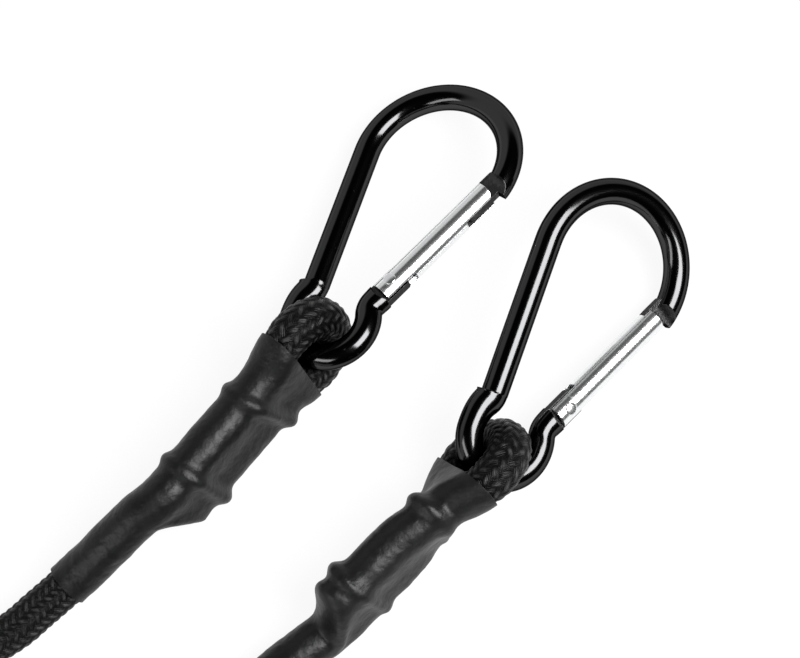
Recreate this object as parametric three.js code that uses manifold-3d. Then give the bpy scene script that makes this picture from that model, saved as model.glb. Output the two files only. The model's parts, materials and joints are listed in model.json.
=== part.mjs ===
// Bungee cord with a snap hook on a clamped, sleeved eye at each end.
// Millimetres, +Z up. The cord lies on the plane z = 0, folded once beyond its sleeves.
import * as THREE from 'three';
import { mergeVertices } from 'three/addons/utils/BufferGeometryUtils.js';
import Module from 'manifold-3d';

const wasm = await Module();
wasm.setup();

// Clearance between pieces that touch or run on each other
const GAP = 0.3;

// Hook: a round rod bent to a pear, with a small eye below and a wide loop above.
// Where the spine bends into the eye, the rod's outer side is pressed out to a step that fades along the eye
const ROD_D = 6.2;
const LOOP_R = 17.9;
const LOOP_RISE = 46.4;
const SPINE_LEAN = 13.8;
const EYE_R = 9.3;
const EYE_SHIFT = 0.4;
const NECK_BEND_R = 3.9;
const NOSE_ANGLE = -6;
const HINGE_FLARE = 0.6;
const STOP_STEP = 1.3;
const STOP_FADE = 9.0;

// Flat tongues that the rod's two ends are coined to
const TONGUE_T = 2.0;
const NOSE_TONGUE_REACH = 7.8;
const NOSE_TONGUE_IN = 1.4;
const NOSE_TONGUE_OUT = 2.4;
const NOSE_LIP_IN = 2.9;
const NOSE_LIP_RISE = 4.5;
const NOSE_SCOOP_R = 3.0;
const HINGE_TONGUE_W = 6.0;
const HINGE_TONGUE_END = 3.0;
const TONGUE_CORNER = 0.8;

// Gate: a bored and slotted rod that turns on a rivet
const GATE_D = 6.0;
const GATE_LEN = 34.0;
const GATE_TAIL = 3.3;
const GATE_LEAN = 14.6;
const PIVOT_OUT = 8.53;
const PIVOT_RISE = 14.0;
const GATE_BORE_D = 4.0;
const GATE_BORE_DEPTH = 22.0;
const HINGE_SLOT_OUTER = 8.6;
const HINGE_SLOT_INNER = 8.0;
const NOSE_SLOT_OUTER = 9.0;
const NOSE_SLOT_INNER = 2.0;
const GATE_NOSE_ROUND = 2.0;

// Rivet, and the spring and plunger that shut the gate
const RIVET_D = 2.0;
const RIVET_HEAD_D = 3.0;
const RIVET_HEAD_SUNK = 0.4;
const RIVET_HEAD_PROUD = 0.25;
const SPRING_WIRE_D = 0.5;
const SPRING_COILS = 7;
const PLUNGER_HEAD_L = 2.0;
const PLUNGER_STEM_L = 3.0;

// Cord: a rubber core in a braided jacket
const CORD_D = 9.2;
const JACKET_WALL = 0.9;

// Eye: the cord turned back on itself round the hook's rod and clamped twice
const EYE_PLAY = 0.35;
const EYE_SWELL = 0.4;
const STRAND_GAP = 0.5;
const EYE_CLOSE = 13.0;
const CLAMP_AT = [15.7, 37.5];
const CLAMP_WIRE_D = 1.3;
const CLAMP_REACH = 3.0;
const CLAMP_PINCH = 0.8;
const CLAMP_CLEAR = 0.2;
const CLAMP_OPEN = 2.0;
const TAIL_END = 43.0;
const TAIL_STEP = 1.5;
const TURN_EASE = 10.0;

// Shrunk sleeve over the doubled cord and a stretch of the single cord
const SLEEVE_START = 4.0;
const SLEEVE_LEN = 70.0;
const SLEEVE_WALL = 0.45;
const SLEEVE_CLEAR = 0.25;
const SLEEVE_SINGLE = 54.0;
const CORD_JOIN = 4.0;
const LEAD_OUT = 16.0;

// Where each hook lies: its eye centre, turn about Z, roll about its long axis and slope of that axis.
// Then its cord: heading and slope of the doubled stretch, twist of its strands about each other,
// turn of the single cord that goes on from it, whether the upper (1) or lower (-1) strand goes on,
// and how far from the hook it reaches the floor
const HOOKS = {
  left: { eye: [-15.7, 1.9, 13.2], yaw: -30.3, roll: -21.3, slope: -2.7 },
  right: { eye: [24.0, -25.2, 12.1], yaw: -30.6, roll: 32.3, slope: 2.0 },
};
const CORDS = {
  left: { heading: 230.5, fall: -1.0, twist: 0, turn: -10.1, strand: 1, lands: 80 },
  right: { heading: 225.6, fall: -3.2, twist: -10, turn: 0.9, strand: -1, lands: 52 },
};

// Route of the free cord between the two sleeves, chosen by hand, in plan
const FOLD_ROUTE = [
  [-104, -77],
  [-123, -83],
  [-139, -93],
  [-148, -111],
  [-148, -134],
  [-138, -152],
  [-120, -162],
  [-98, -163],
  [-78, -155],
  [-66, -137],
  [-60, -117],
];

// Facets
const ROD_SIDES = 12;
const ARC_STEP = 12;
const GATE_SIDES = 20;
const PIN_SIDES = 12;
const CORD_SIDES = 8;
const CORE_SIDES = 6;
const BIGHT_STEPS = 10;
const STATION_STEP = 4.0;
const CLAMP_SIDES = 6;
const CLAMP_ARC_STEPS = 5;
const SLEEVE_SIDES = 16;
const CURL_STEPS = 8;
const CURL_SIDES = 5;
const FOLD_STEPS = 60;

// Sizes that follow from the ones above
const ROD_R = ROD_D / 2;
const GATE_R = GATE_D / 2;
const GATE_BORE_R = GATE_BORE_D / 2;
const CORD_R = CORD_D / 2;
const JACKET_BORE_R = CORD_R - JACKET_WALL;
const CORE_R = JACKET_BORE_R * Math.cos(Math.PI / CORD_SIDES) - GAP;
const BIGHT_R = ROD_R + CORD_R + EYE_SWELL + EYE_PLAY;
const STRAND_OFFSET = CORD_R + STRAND_GAP / 2;
const CLAMP_WIRE_R = CLAMP_WIRE_D / 2;
const CLAMP_R = CORD_R - CLAMP_PINCH + CLAMP_CLEAR + CLAMP_WIRE_R;
const SLEEVE_BORE_R = CORD_R + SLEEVE_CLEAR;
const SLEEVE_CLAMP_BORE_R = CLAMP_R + CLAMP_WIRE_R + GAP;
const SLEEVE_END = SLEEVE_START + SLEEVE_LEN;
const SINGLE_HEIGHT = (SLEEVE_BORE_R + SLEEVE_WALL) * Math.cos(Math.PI / SLEEVE_SIDES);
const FREE_HEIGHT = CORD_R;
const CORD_JOIN_AT = SLEEVE_END - CORD_JOIN;
const GATE_NOSE_Y = GATE_LEN - GATE_TAIL;
const SLOT_W = TONGUE_T + 2 * GAP;
const HINGE_RELIEF_R = Math.hypot(GATE_TAIL, GATE_R) + GAP;
const SPRING_R = GATE_BORE_R - GAP - SPRING_WIRE_D / 2;
const PLUNGER_R = GATE_BORE_R - GAP;
const PLUNGER_STEM_R = SPRING_R - SPRING_WIRE_D / 2 - GAP;

const rad = THREE.MathUtils.degToRad;
const smooth = THREE.MathUtils.smoothstep;
const point = (x, y, z) => new THREE.Vector3(x, y, z);

// Finishes
const finish = {
  black_metal: new THREE.MeshStandardMaterial({ color: 0x0c0c0d, roughness: 0.2, metalness: 0.4 }),
  bright_metal: new THREE.MeshStandardMaterial({ color: 0xd9dbdd, roughness: 0.25, metalness: 1 }),
  steel: new THREE.MeshStandardMaterial({ color: 0xa4a7aa, roughness: 0.35, metalness: 1 }),
  braid: new THREE.MeshStandardMaterial({ color: 0x161617, roughness: 0.7, metalness: 0 }),
  rubber: new THREE.MeshStandardMaterial({ color: 0xc9b48a, roughness: 0.8, metalness: 0 }),
  shrink: new THREE.MeshStandardMaterial({ color: 0x2a2b2c, roughness: 0.5, metalness: 0 }),
};

// Turns a closed geometry into a solid for joining and cutting
function solid(geometry) {
  const bare = geometry.clone();
  bare.deleteAttribute('normal');
  bare.deleteAttribute('uv');
  const merged = mergeVertices(bare, 1e-5);
  const triangles = [];
  for (let i = 0; i < merged.index.count; i += 3) {
    const corners = [merged.index.getX(i), merged.index.getX(i + 1), merged.index.getX(i + 2)];
    if (new Set(corners).size === 3) triangles.push(...corners);
  }
  const vertProperties = new Float32Array(merged.attributes.position.array);
  const triVerts = new Uint32Array(triangles);
  return new wasm.Manifold(new wasm.Mesh({ numProp: 3, vertProperties, triVerts }));
}

// Turns a solid back into a geometry
function geometryOf(body) {
  const mesh = body.getMesh();
  const geometry = new THREE.BufferGeometry();
  geometry.setAttribute('position', new THREE.BufferAttribute(new Float32Array(mesh.vertProperties), 3));
  geometry.setIndex(new THREE.BufferAttribute(new Uint32Array(mesh.triVerts), 1));
  geometry.computeVertexNormals();
  return geometry;
}

function named(name, geometry, material) {
  const mesh = new THREE.Mesh(geometry, material);
  mesh.name = name;
  return mesh;
}

// Rings of points round a path, flattened or flared by two radii at each step, and shifted to the side
function ringsAlong(path, reference, radiiAt, sides) {
  return path.map((centre, i) => {
    const before = path[Math.max(i - 1, 0)];
    const after = path[Math.min(i + 1, path.length - 1)];
    const along = after.clone().sub(before).normalize();
    const across = reference.clone().addScaledVector(along, -reference.dot(along)).normalize();
    const side = along.clone().cross(across);
    const [r1, r2, shift = 0] = radiiAt(i);
    return Array.from({ length: sides }, (_, k) => {
      const turn = ((k + 0.5) / sides) * 2 * Math.PI;
      const corner = centre.clone().addScaledVector(across, r1 * Math.cos(turn));
      return corner.addScaledVector(side, shift + r2 * Math.sin(turn));
    });
  });
}

// Skin over a row of rings, closed at its ends, or open along a bore when inner rings are given
function loft(outer, inner) {
  const sides = outer[0].length;
  const last = outer.length - 1;
  const rings = inner ? [...outer, ...inner] : outer;
  const positions = rings.flat().flatMap((p) => [p.x, p.y, p.z]);
  const index = [];
  const at = (ring, k) => ring * sides + (k % sides);
  const quad = (a, b, c, d) => index.push(a, b, c, a, c, d);
  for (let k = 0; k < sides; k += 1) {
    for (let i = 0; i < last; i += 1) {
      quad(at(i, k), at(i, k + 1), at(i + 1, k + 1), at(i + 1, k));
      if (inner) {
        const j = i + outer.length;
        quad(at(j, k + 1), at(j, k), at(j + 1, k), at(j + 1, k + 1));
      }
    }
    if (inner) {
      const first = outer.length;
      quad(at(0, k + 1), at(0, k), at(first, k), at(first, k + 1));
      quad(at(last, k), at(last, k + 1), at(first + last, k + 1), at(first + last, k));
    } else if (k > 0 && k < sides - 1) {
      index.push(at(0, 0), at(0, k + 1), at(0, k));
      index.push(at(last, 0), at(last, k), at(last, k + 1));
    }
  }
  const geometry = new THREE.BufferGeometry();
  geometry.setAttribute('position', new THREE.Float32BufferAttribute(positions, 3));
  geometry.setIndex(index);
  geometry.computeVertexNormals();
  return geometry;
}

// Upright pin or disc turned about Z from half of its outline
function turned(outline, sides) {
  const profile = outline.map(([r, h]) => new THREE.Vector2(r, h));
  return new THREE.LatheGeometry(profile, sides).rotateX(Math.PI / 2);
}

function cylinderZ(radius, low, high, sides) {
  return turned([[0, low], [radius, low], [radius, high], [0, high]], sides);
}

function box(low, high) {
  const size = high.clone().sub(low);
  const middle = low.clone().add(high).multiplyScalar(0.5);
  return new THREE.BoxGeometry(size.x, size.y, size.z).translate(middle.x, middle.y, middle.z);
}

// Flat plate of one outline, centred on z = 0, with its last two corners rounded
function tonguePlate(left, right, start, end) {
  const inward = Math.sign(start - end) * TONGUE_CORNER;
  const shape = new THREE.Shape();
  shape.moveTo(left, start);
  shape.lineTo(right, start);
  shape.lineTo(right, end + inward);
  shape.quadraticCurveTo(right, end, right - TONGUE_CORNER, end);
  shape.lineTo(left + TONGUE_CORNER, end);
  shape.quadraticCurveTo(left, end, left, end + inward);
  const plate = new THREE.ExtrudeGeometry(shape, { depth: TONGUE_T, bevelEnabled: false, curveSegments: 3 });
  return plate.translate(0, 0, -TONGUE_T / 2);
}

// Points of an arc in the hook's plane
function arc(centre, radius, from, to) {
  const steps = Math.max(2, Math.round(Math.abs(to - from) / ARC_STEP));
  return Array.from({ length: steps + 1 }, (_, i) => {
    const angle = rad(from + ((to - from) * i) / steps);
    return point(centre.x + radius * Math.cos(angle), centre.y + radius * Math.sin(angle), 0);
  });
}

// Small bend, outside the eye, that joins a straight leg of the rod to the eye's circle
function neckBend(start, along, outward, eye) {
  const reach = EYE_R + NECK_BEND_R;
  const offset = start.clone().addScaledVector(outward, NECK_BEND_R).sub(eye);
  const middle = -offset.dot(along);
  const travel = middle - Math.sqrt(reach ** 2 - offset.lengthSq() + middle ** 2);
  const centre = start.clone().addScaledVector(along, travel).addScaledVector(outward, NECK_BEND_R);
  const angleTo = (p) => THREE.MathUtils.radToDeg(Math.atan2(p.y - centre.y, p.x - centre.x));
  const onLeg = start.clone().addScaledVector(along, travel);
  const onEye = eye.clone().lerp(centre, EYE_R / reach);
  const from = angleTo(onLeg);
  const sweep = THREE.MathUtils.euclideanModulo(angleTo(onEye) - from + 180, 360) - 180;
  return { points: arc(centre, NECK_BEND_R, from, from + sweep), onEye };
}

// Frame of the gate in the hook: its pivot, and Y along the gate towards the nose
function gateMatrix() {
  const turn = new THREE.Quaternion().setFromAxisAngle(point(0, 0, 1), -rad(GATE_LEAN));
  return new THREE.Matrix4().compose(point(PIVOT_OUT, PIVOT_RISE, 0), turn, point(1, 1, 1));
}

function hookBody() {
  const gate = gateMatrix();
  const loop = point(0, LOOP_RISE, 0);
  const eye = point(-EYE_SHIFT, 0, 0);
  const lean = rad(SPINE_LEAN);
  const spineOut = point(-Math.cos(lean), -Math.sin(lean), 0);
  const spineDown = point(Math.sin(lean), -Math.cos(lean), 0);
  const spineTop = loop.clone().addScaledVector(spineOut, LOOP_R);
  const kink = neckBend(spineTop, spineDown, spineOut, eye);
  const gateOut = point(1, 0, 0).transformDirection(gate);
  const gateDown = point(0, -1, 0).transformDirection(gate);
  const hinge = neckBend(point(PIVOT_OUT, PIVOT_RISE, 0), gateDown, gateOut, eye);
  const angleOnEye = (p) => THREE.MathUtils.radToDeg(Math.atan2(p.y - eye.y, p.x - eye.x));
  const rodEnd = point(0, -HINGE_RELIEF_R + TONGUE_CORNER, 0).applyMatrix4(gate);
  const wideLoop = arc(loop, LOOP_R, NOSE_ANGLE, 180 + SPINE_LEAN);
  const aboveStop = kink.points[0].clone().addScaledVector(spineDown, -GAP);
  const path = [
    ...wideLoop,
    aboveStop,
    ...kink.points,
    ...arc(eye, EYE_R, angleOnEye(kink.onEye), 360 + angleOnEye(hinge.onEye)).slice(1, -1),
    ...hinge.points.reverse(),
    rodEnd,
  ];
  const stopAt = wideLoop.length + 1;
  const fromStop = path.map(() => 0);
  for (let i = stopAt + 1; i < path.length; i += 1) {
    fromStop[i] = fromStop[i - 1] + path[i].distanceTo(path[i - 1]);
  }
  const lastStraight = path.length - 3;
  const radii = (i) => {
    const flare = HINGE_FLARE * Math.max(0, i - lastStraight);
    const step = i < stopAt ? 0 : STOP_STEP * (1 - smooth(fromStop[i], 0, STOP_FADE));
    return [ROD_R, ROD_R + (flare + step) / 2, step / 2];
  };
  let body = solid(loft(ringsAlong(path, point(0, 0, 1), radii, ROD_SIDES)));

  // The gate's tail turns in a round relief, and the nose is scooped on both faces down to its tongue
  const relief = cylinderZ(HINGE_RELIEF_R, -ROD_D, ROD_D, GATE_SIDES).applyMatrix4(gate);
  body = body.subtract(solid(relief));
  const noseEnd = path[0].clone().applyMatrix4(gate.clone().invert()).y;
  for (const face of [-1, 1]) {
    const scoop = new THREE.CylinderGeometry(NOSE_SCOOP_R, NOSE_SCOOP_R, 3 * ROD_D, GATE_SIDES);
    scoop.rotateZ(Math.PI / 2).translate(0, noseEnd, face * (TONGUE_T / 2 + NOSE_SCOOP_R));
    body = body.subtract(solid(scoop.applyMatrix4(gate)));
  }

  const noseTip = GATE_NOSE_Y - NOSE_TONGUE_REACH;
  const nose = tonguePlate(-NOSE_TONGUE_IN, NOSE_TONGUE_OUT, noseEnd + ROD_R / 2, noseTip);
  const lipEnd = GATE_NOSE_Y - NOSE_SLOT_INNER + GAP;
  const lip = tonguePlate(-NOSE_LIP_IN, 0, GATE_NOSE_Y + NOSE_LIP_RISE, lipEnd);
  const tongueRoot = -HINGE_RELIEF_R - ROD_R / 2;
  const tongue = tonguePlate(-HINGE_TONGUE_W / 2, HINGE_TONGUE_W / 2, tongueRoot, HINGE_TONGUE_END);
  for (const plate of [nose, lip, tongue]) body = body.add(solid(plate.applyMatrix4(gate)));
  const hole = cylinderZ(RIVET_D / 2 + GAP, -ROD_D, ROD_D, PIN_SIDES).applyMatrix4(gate);
  return geometryOf(body.subtract(solid(hole)));
}

function gateBody() {
  const shape = new THREE.Shape();
  shape.moveTo(-GATE_R - GAP, -GATE_TAIL);
  shape.lineTo(GATE_R, -GATE_TAIL);
  shape.lineTo(GATE_R, GATE_NOSE_Y - GATE_NOSE_ROUND);
  shape.quadraticCurveTo(GATE_R, GATE_NOSE_Y, GATE_R - GATE_NOSE_ROUND, GATE_NOSE_Y);
  shape.lineTo(-GATE_R - GAP, GATE_NOSE_Y);
  const through = { depth: 2 * GATE_D, bevelEnabled: false, curveSegments: 5 };
  const outline = new THREE.ExtrudeGeometry(shape, through);
  const bar = new THREE.CylinderGeometry(GATE_R, GATE_R, GATE_LEN + 2 * GAP, GATE_SIDES);
  bar.translate(0, GATE_LEN / 2 - GATE_TAIL, 0);
  let gate = solid(bar).intersect(solid(outline.translate(0, 0, -GATE_D)));

  const bore = new THREE.CylinderGeometry(GATE_BORE_R, GATE_BORE_R, GATE_BORE_DEPTH + GATE_D, PIN_SIDES);
  bore.translate(0, (GATE_BORE_DEPTH - GATE_D) / 2 - GATE_TAIL, 0);
  const half = SLOT_W / 2;
  const noseFloor = -NOSE_TONGUE_IN - GAP;
  const cuts = [
    bore,
    box(point(0, -GATE_D, -half), point(GATE_D, HINGE_SLOT_OUTER - GATE_TAIL, half)),
    box(point(-GATE_D, -GATE_D, -half), point(GAP, HINGE_SLOT_INNER - GATE_TAIL, half)),
    box(point(noseFloor, GATE_NOSE_Y - NOSE_SLOT_OUTER, -half), point(GATE_D, GATE_NOSE_Y + GATE_D, half)),
    box(point(-GATE_D, GATE_NOSE_Y - NOSE_SLOT_INNER, -half), point(0, GATE_NOSE_Y + GATE_D, half)),
    cylinderZ(RIVET_D / 2 + GAP, -GATE_D, GATE_D, PIN_SIDES),
  ];
  const seat = GATE_R - RIVET_HEAD_SUNK;
  for (const face of [-1, 1]) {
    const ends = [face * seat, face * GATE_D].sort((a, b) => a - b);
    cuts.push(cylinderZ(RIVET_HEAD_D / 2 + GAP, ends[0], ends[1], PIN_SIDES));
  }
  for (const cut of cuts) gate = gate.subtract(solid(cut));
  return geometryOf(gate);
}

function rivet() {
  const pin = RIVET_D / 2;
  const head = RIVET_HEAD_D / 2;
  const under = GATE_R - RIVET_HEAD_SUNK + GAP;
  const top = GATE_R + RIVET_HEAD_PROUD;
  const half = [[pin, under], [head, under], [head, (under + top) / 2], [pin, top], [0, top]];
  const mirrored = half.map(([r, h]) => [r, -h]).reverse();
  return geometryOf(solid(turned([...mirrored, ...half], PIN_SIDES)));
}

function plunger() {
  const start = HINGE_TONGUE_END + GAP;
  const shoulder = start + PLUNGER_HEAD_L;
  const end = shoulder + PLUNGER_STEM_L;
  const outline = [[0, start], [PLUNGER_R, start], [PLUNGER_R, shoulder], [PLUNGER_STEM_R, shoulder]];
  const profile = [...outline, [PLUNGER_STEM_R, end], [0, end]].map(([r, h]) => new THREE.Vector2(r, h));
  return geometryOf(solid(new THREE.LatheGeometry(profile, PIN_SIDES)));
}

// Compression spring in the gate's bore, from the plunger's shoulder to the bore's floor
function gateSpring() {
  const clear = GAP + SPRING_WIRE_D / 2;
  const start = HINGE_TONGUE_END + GAP + PLUNGER_HEAD_L + clear;
  const end = GATE_BORE_DEPTH - GATE_TAIL - clear;
  const steps = SPRING_COILS * CURL_STEPS;
  const path = Array.from({ length: steps + 1 }, (_, i) => {
    const turn = (i / CURL_STEPS) * 2 * Math.PI;
    return point(SPRING_R * Math.cos(turn), start + ((end - start) * i) / steps, SPRING_R * Math.sin(turn));
  });
  let least = Infinity;
  for (let i = 0; i < path.length; i += 1) {
    for (let j = i + CURL_STEPS - 2; j < path.length; j += 1) {
      least = Math.min(least, path[i].distanceTo(path[j]) - SPRING_WIRE_D);
    }
  }
  console.log(`gate spring, least gap to itself: ${least.toFixed(2)} mm`);
  const wire = [SPRING_WIRE_D / 2, SPRING_WIRE_D / 2];
  return loft(ringsAlong(path, point(0, 1, 0), () => wire, CURL_SIDES));
}

function makeHook(side) {
  const hook = new THREE.Group();
  const gate = new THREE.Group();
  gateMatrix().decompose(gate.position, gate.quaternion, gate.scale);
  hook.add(named(`${side}_hook_body`, hookBody(), finish.black_metal));
  gate.add(named(`${side}_gate`, gateBody(), finish.bright_metal));
  gate.add(named(`${side}_gate_rivet`, rivet(), finish.bright_metal));
  gate.add(named(`${side}_spring_plunger`, plunger(), finish.steel));
  gate.add(named(`${side}_gate_spring`, gateSpring(), finish.steel));
  hook.add(gate);
  const { eye, yaw, roll, slope } = HOOKS[side];
  hook.position.set(...eye);
  hook.rotation.set(rad(slope), rad(roll), rad(yaw), 'ZYX');
  hook.updateMatrixWorld(true);
  return hook;
}

// Frame of the cord's eye: X along the cord, away from the hook, and Y along the rod that it goes round
function eyeMatrix(side, hook) {
  const { heading, fall } = CORDS[side];
  const flat = Math.cos(rad(fall));
  const along = point(flat * Math.cos(rad(heading)), flat * Math.sin(rad(heading)), Math.sin(rad(fall)));
  const out = point(1, 0, 0).transformDirection(hook.matrixWorld);
  const up = point(0, 1, 0).transformDirection(hook.matrixWorld);
  const angle = Math.atan2(along.dot(up), along.dot(out));
  const onRod = point(EYE_R * Math.cos(angle) - EYE_SHIFT, EYE_R * Math.sin(angle), 0);
  const seat = onRod.applyMatrix4(hook.matrixWorld);
  const rod = out.multiplyScalar(-Math.sin(angle)).addScaledVector(up, Math.cos(angle));
  const basis = new THREE.Matrix4().makeBasis(along, rod, along.clone().cross(rod));
  return basis.setPosition(seat);
}

// How much of a clamp's pinch is felt at a place along the cord
function clampShare(x) {
  return CLAMP_AT.reduce((most, at) => Math.max(most, 1 - Math.abs(x - at) / CLAMP_REACH), 0);
}

// Places along the eye where sections are taken: a steady step, closer at the clamps and at the tail
function eyeStations(from, to) {
  const nearClamp = (x) => CLAMP_AT.some((at) => Math.abs(x - at) < CLAMP_REACH + GAP);
  const steady = Array.from({ length: Math.ceil(to / STATION_STEP) }, (_, i) => i * STATION_STEP);
  const even = steady.filter((x) => !nearClamp(x) && Math.abs(x - TAIL_END) > STATION_STEP / 2);
  const atClamps = CLAMP_AT.flatMap((at) => [-1, -0.5, 0, 0.5, 1].map((share) => at + share * CLAMP_REACH));
  const inside = [...even, ...atClamps, TAIL_END, TAIL_END + TAIL_STEP];
  return [from, ...inside.filter((x) => x > from + GAP && x < to - GAP), to].sort((a, b) => a - b);
}

// Strands and section directions of one end, in the frame of its eye
function layEnd(matrix, { heading, twist, turn, strand, lands }) {
  const inverse = matrix.clone().invert();
  const compass = (angle) => point(Math.cos(rad(angle)), Math.sin(rad(angle)), 0);
  const away = compass(heading + turn);
  const upHere = point(0, 0, 1).transformDirection(inverse);
  const twistAt = (x) => rad(twist) * smooth(x, 0, EYE_CLOSE);
  const asideAt = (x) => point(0, Math.sin(twistAt(x)), Math.cos(twistAt(x)));
  const offsetAt = (x) => THREE.MathUtils.lerp(BIGHT_R, STRAND_OFFSET, smooth(x, 0, EYE_CLOSE));
  const strandAt = (x, side) => point(x, 0, 0).addScaledVector(asideAt(x), side * offsetAt(x));
  const corner = strandAt(TAIL_END, strand).applyMatrix4(matrix);
  const landed = (x) => smooth(x, TAIL_END, lands);
  const leftDoubled = (x) => smooth(x, TAIL_END, TAIL_END + TURN_EASE);
  const leftSleeve = (x) => smooth(x, SLEEVE_END, SLEEVE_END + LEAD_OUT);
  const heightAt = (x) => THREE.MathUtils.lerp(SINGLE_HEIGHT, FREE_HEIGHT, leftSleeve(x));
  const mainAt = (x) => {
    const place = strandAt(x, strand).applyMatrix4(matrix);
    const height = THREE.MathUtils.lerp(place.z, heightAt(x), landed(x));
    place.lerp(corner.clone().addScaledVector(away, x - TAIL_END), leftDoubled(x));
    return place.setZ(height).applyMatrix4(inverse);
  };
  const tailAt = (x) => strandAt(x, -strand);
  const upAt = (x) => asideAt(x).lerp(upHere, landed(x));
  const courseAt = (x) => mainAt(x + GAP).sub(mainAt(x - GAP));
  const alongAt = (x) => (x > TAIL_END ? courseAt(x).normalize() : point(1, 0, 0));
  const spreadAt = (x) => 2 * offsetAt(x) * (1 - smooth(x, TAIL_END + GAP, SLEEVE_SINGLE));
  return { matrix, strand, twistAt, offsetAt, mainAt, tailAt, courseAt, upAt, alongAt, spreadAt };
}

// Centreline of the cord's end: up the standing strand, round the rod and down to the cut tail
function eyePath(lay) {
  const rising = eyeStations(0, CORD_JOIN_AT - GAP / 2).reverse();
  const falling = eyeStations(0, TAIL_END);
  const path = rising.map((x) => ({ x, at: lay.mainAt(x) }));
  for (let i = 1; i < BIGHT_STEPS; i += 1) {
    const turn = (i / BIGHT_STEPS) * Math.PI;
    path.push({ x: 0, at: point(-BIGHT_R * Math.sin(turn), 0, lay.strand * BIGHT_R * Math.cos(turn)) });
  }
  falling.forEach((x) => path.push({ x, at: lay.tailAt(x) }));
  return path;
}

// Round sections of the cord, pinched at the clamps and swollen where it turns round the rod
function cordRings(path, radius, sides) {
  const swell = (x) => EYE_SWELL * (1 - smooth(x, 0, SLEEVE_START));
  const radiusAt = (i) => radius + swell(path[i].x) - CLAMP_PINCH * clampShare(path[i].x);
  return ringsAlong(path.map((step) => step.at), point(0, 1, 0), (i) => [radiusAt(i), radiusAt(i)], sides);
}

// Open ring of wire pressed round both strands
function clampRing(at, lay) {
  const offset = lay.offsetAt(at);
  const path = [point(at, CLAMP_R, CLAMP_OPEN / 2)];
  for (const end of [1, -1]) {
    for (let i = 0; i <= CLAMP_ARC_STEPS; i += 1) {
      const turn = (i / CLAMP_ARC_STEPS) * Math.PI;
      path.push(point(at, end * CLAMP_R * Math.cos(turn), end * (offset + CLAMP_R * Math.sin(turn))));
    }
  }
  path.push(point(at, CLAMP_R, -CLAMP_OPEN / 2));
  for (const place of path) place.applyAxisAngle(point(1, 0, 0), -lay.twistAt(at));
  return loft(ringsAlong(path, point(1, 0, 0), () => [CLAMP_WIRE_R, CLAMP_WIRE_R], CLAMP_SIDES));
}

// Shrunk tube: two half rounds about the strands at each section, closing to one round on the single cord
function sleeve(lay) {
  const stations = eyeStations(SLEEVE_START, SLEEVE_END);
  const rings = (wall) => stations.map((x) => {
    const along = lay.alongAt(x);
    const across = lay.upAt(x).cross(along).normalize();
    const up = along.clone().cross(across);
    const course = lay.courseAt(x);
    const slant = course.length() / course.dot(along);
    const bore = THREE.MathUtils.lerp(SLEEVE_BORE_R, SLEEVE_CLAMP_BORE_R, clampShare(x));
    const radius = bore * slant + wall;
    return Array.from({ length: SLEEVE_SIDES }, (_, k) => {
      const turn = ((k + 0.5) / SLEEVE_SIDES) * 2 * Math.PI;
      const onTail = Math.sin(turn) * lay.strand < 0;
      const rise = radius * Math.sin(turn) - (onTail ? lay.strand * lay.spreadAt(x) : 0);
      return lay.mainAt(x).addScaledVector(across, radius * Math.cos(turn)).addScaledVector(up, rise);
    });
  });
  return loft(rings(SLEEVE_WALL), rings(0));
}

function makeEye(side, lay) {
  const eye = new THREE.Group();
  lay.matrix.decompose(eye.position, eye.quaternion, eye.scale);
  const path = eyePath(lay);
  const bore = cordRings(path, JACKET_BORE_R, CORD_SIDES);
  eye.add(named(`${side}_eye_jacket`, loft(cordRings(path, CORD_R, CORD_SIDES), bore), finish.braid));
  eye.add(named(`${side}_eye_core`, loft(cordRings(path, CORE_R, CORE_SIDES)), finish.rubber));
  eye.add(named(`${side}_clamp_upper`, clampRing(CLAMP_AT[0], lay), finish.steel));
  eye.add(named(`${side}_clamp_lower`, clampRing(CLAMP_AT[1], lay), finish.steel));
  eye.add(named(`${side}_sleeve`, sleeve(lay), finish.shrink));
  return eye;
}

// Free cord from one sleeve to the other: out of the sleeve, down to the floor and round the fold
function foldRoute(left, right) {
  const inSleeve = [CORD_JOIN_AT + GAP / 2, CORD_JOIN_AT + CORD_JOIN / 2, SLEEVE_END];
  const places = [...inSleeve, SLEEVE_END + LEAD_OUT / 2, SLEEVE_END + LEAD_OUT];
  const lead = (lay) => places.map((x) => lay.mainAt(x).applyMatrix4(lay.matrix));
  const fold = FOLD_ROUTE.map(([x, y]) => point(x, y, FREE_HEIGHT));
  const points = [...lead(left), ...fold, ...lead(right).reverse()];
  const route = new THREE.CatmullRomCurve3(points, false, 'centripetal');
  console.log(`free cord: ${route.getLength().toFixed(1)} mm along its centreline`);
  return route;
}

// Corners of a round section, with a flat side below
function section(radius, sides) {
  return Array.from({ length: sides }, (_, k) => {
    const turn = ((k + 0.5) / sides) * 2 * Math.PI;
    return new THREE.Vector2(radius * Math.cos(turn), radius * Math.sin(turn));
  });
}

function freeCord(route) {
  const along = { extrudePath: route, steps: FOLD_STEPS, bevelEnabled: false };
  const jacket = new THREE.Shape(section(CORD_R, CORD_SIDES));
  jacket.holes.push(new THREE.Path(section(JACKET_BORE_R, CORD_SIDES)));
  const core = new THREE.Shape(section(CORE_R, CORE_SIDES));
  return [
    named('free_cord_jacket', geometryOf(solid(new THREE.ExtrudeGeometry(jacket, along))), finish.braid),
    named('free_cord_core', geometryOf(solid(new THREE.ExtrudeGeometry(core, along))), finish.rubber),
  ];
}

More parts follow.
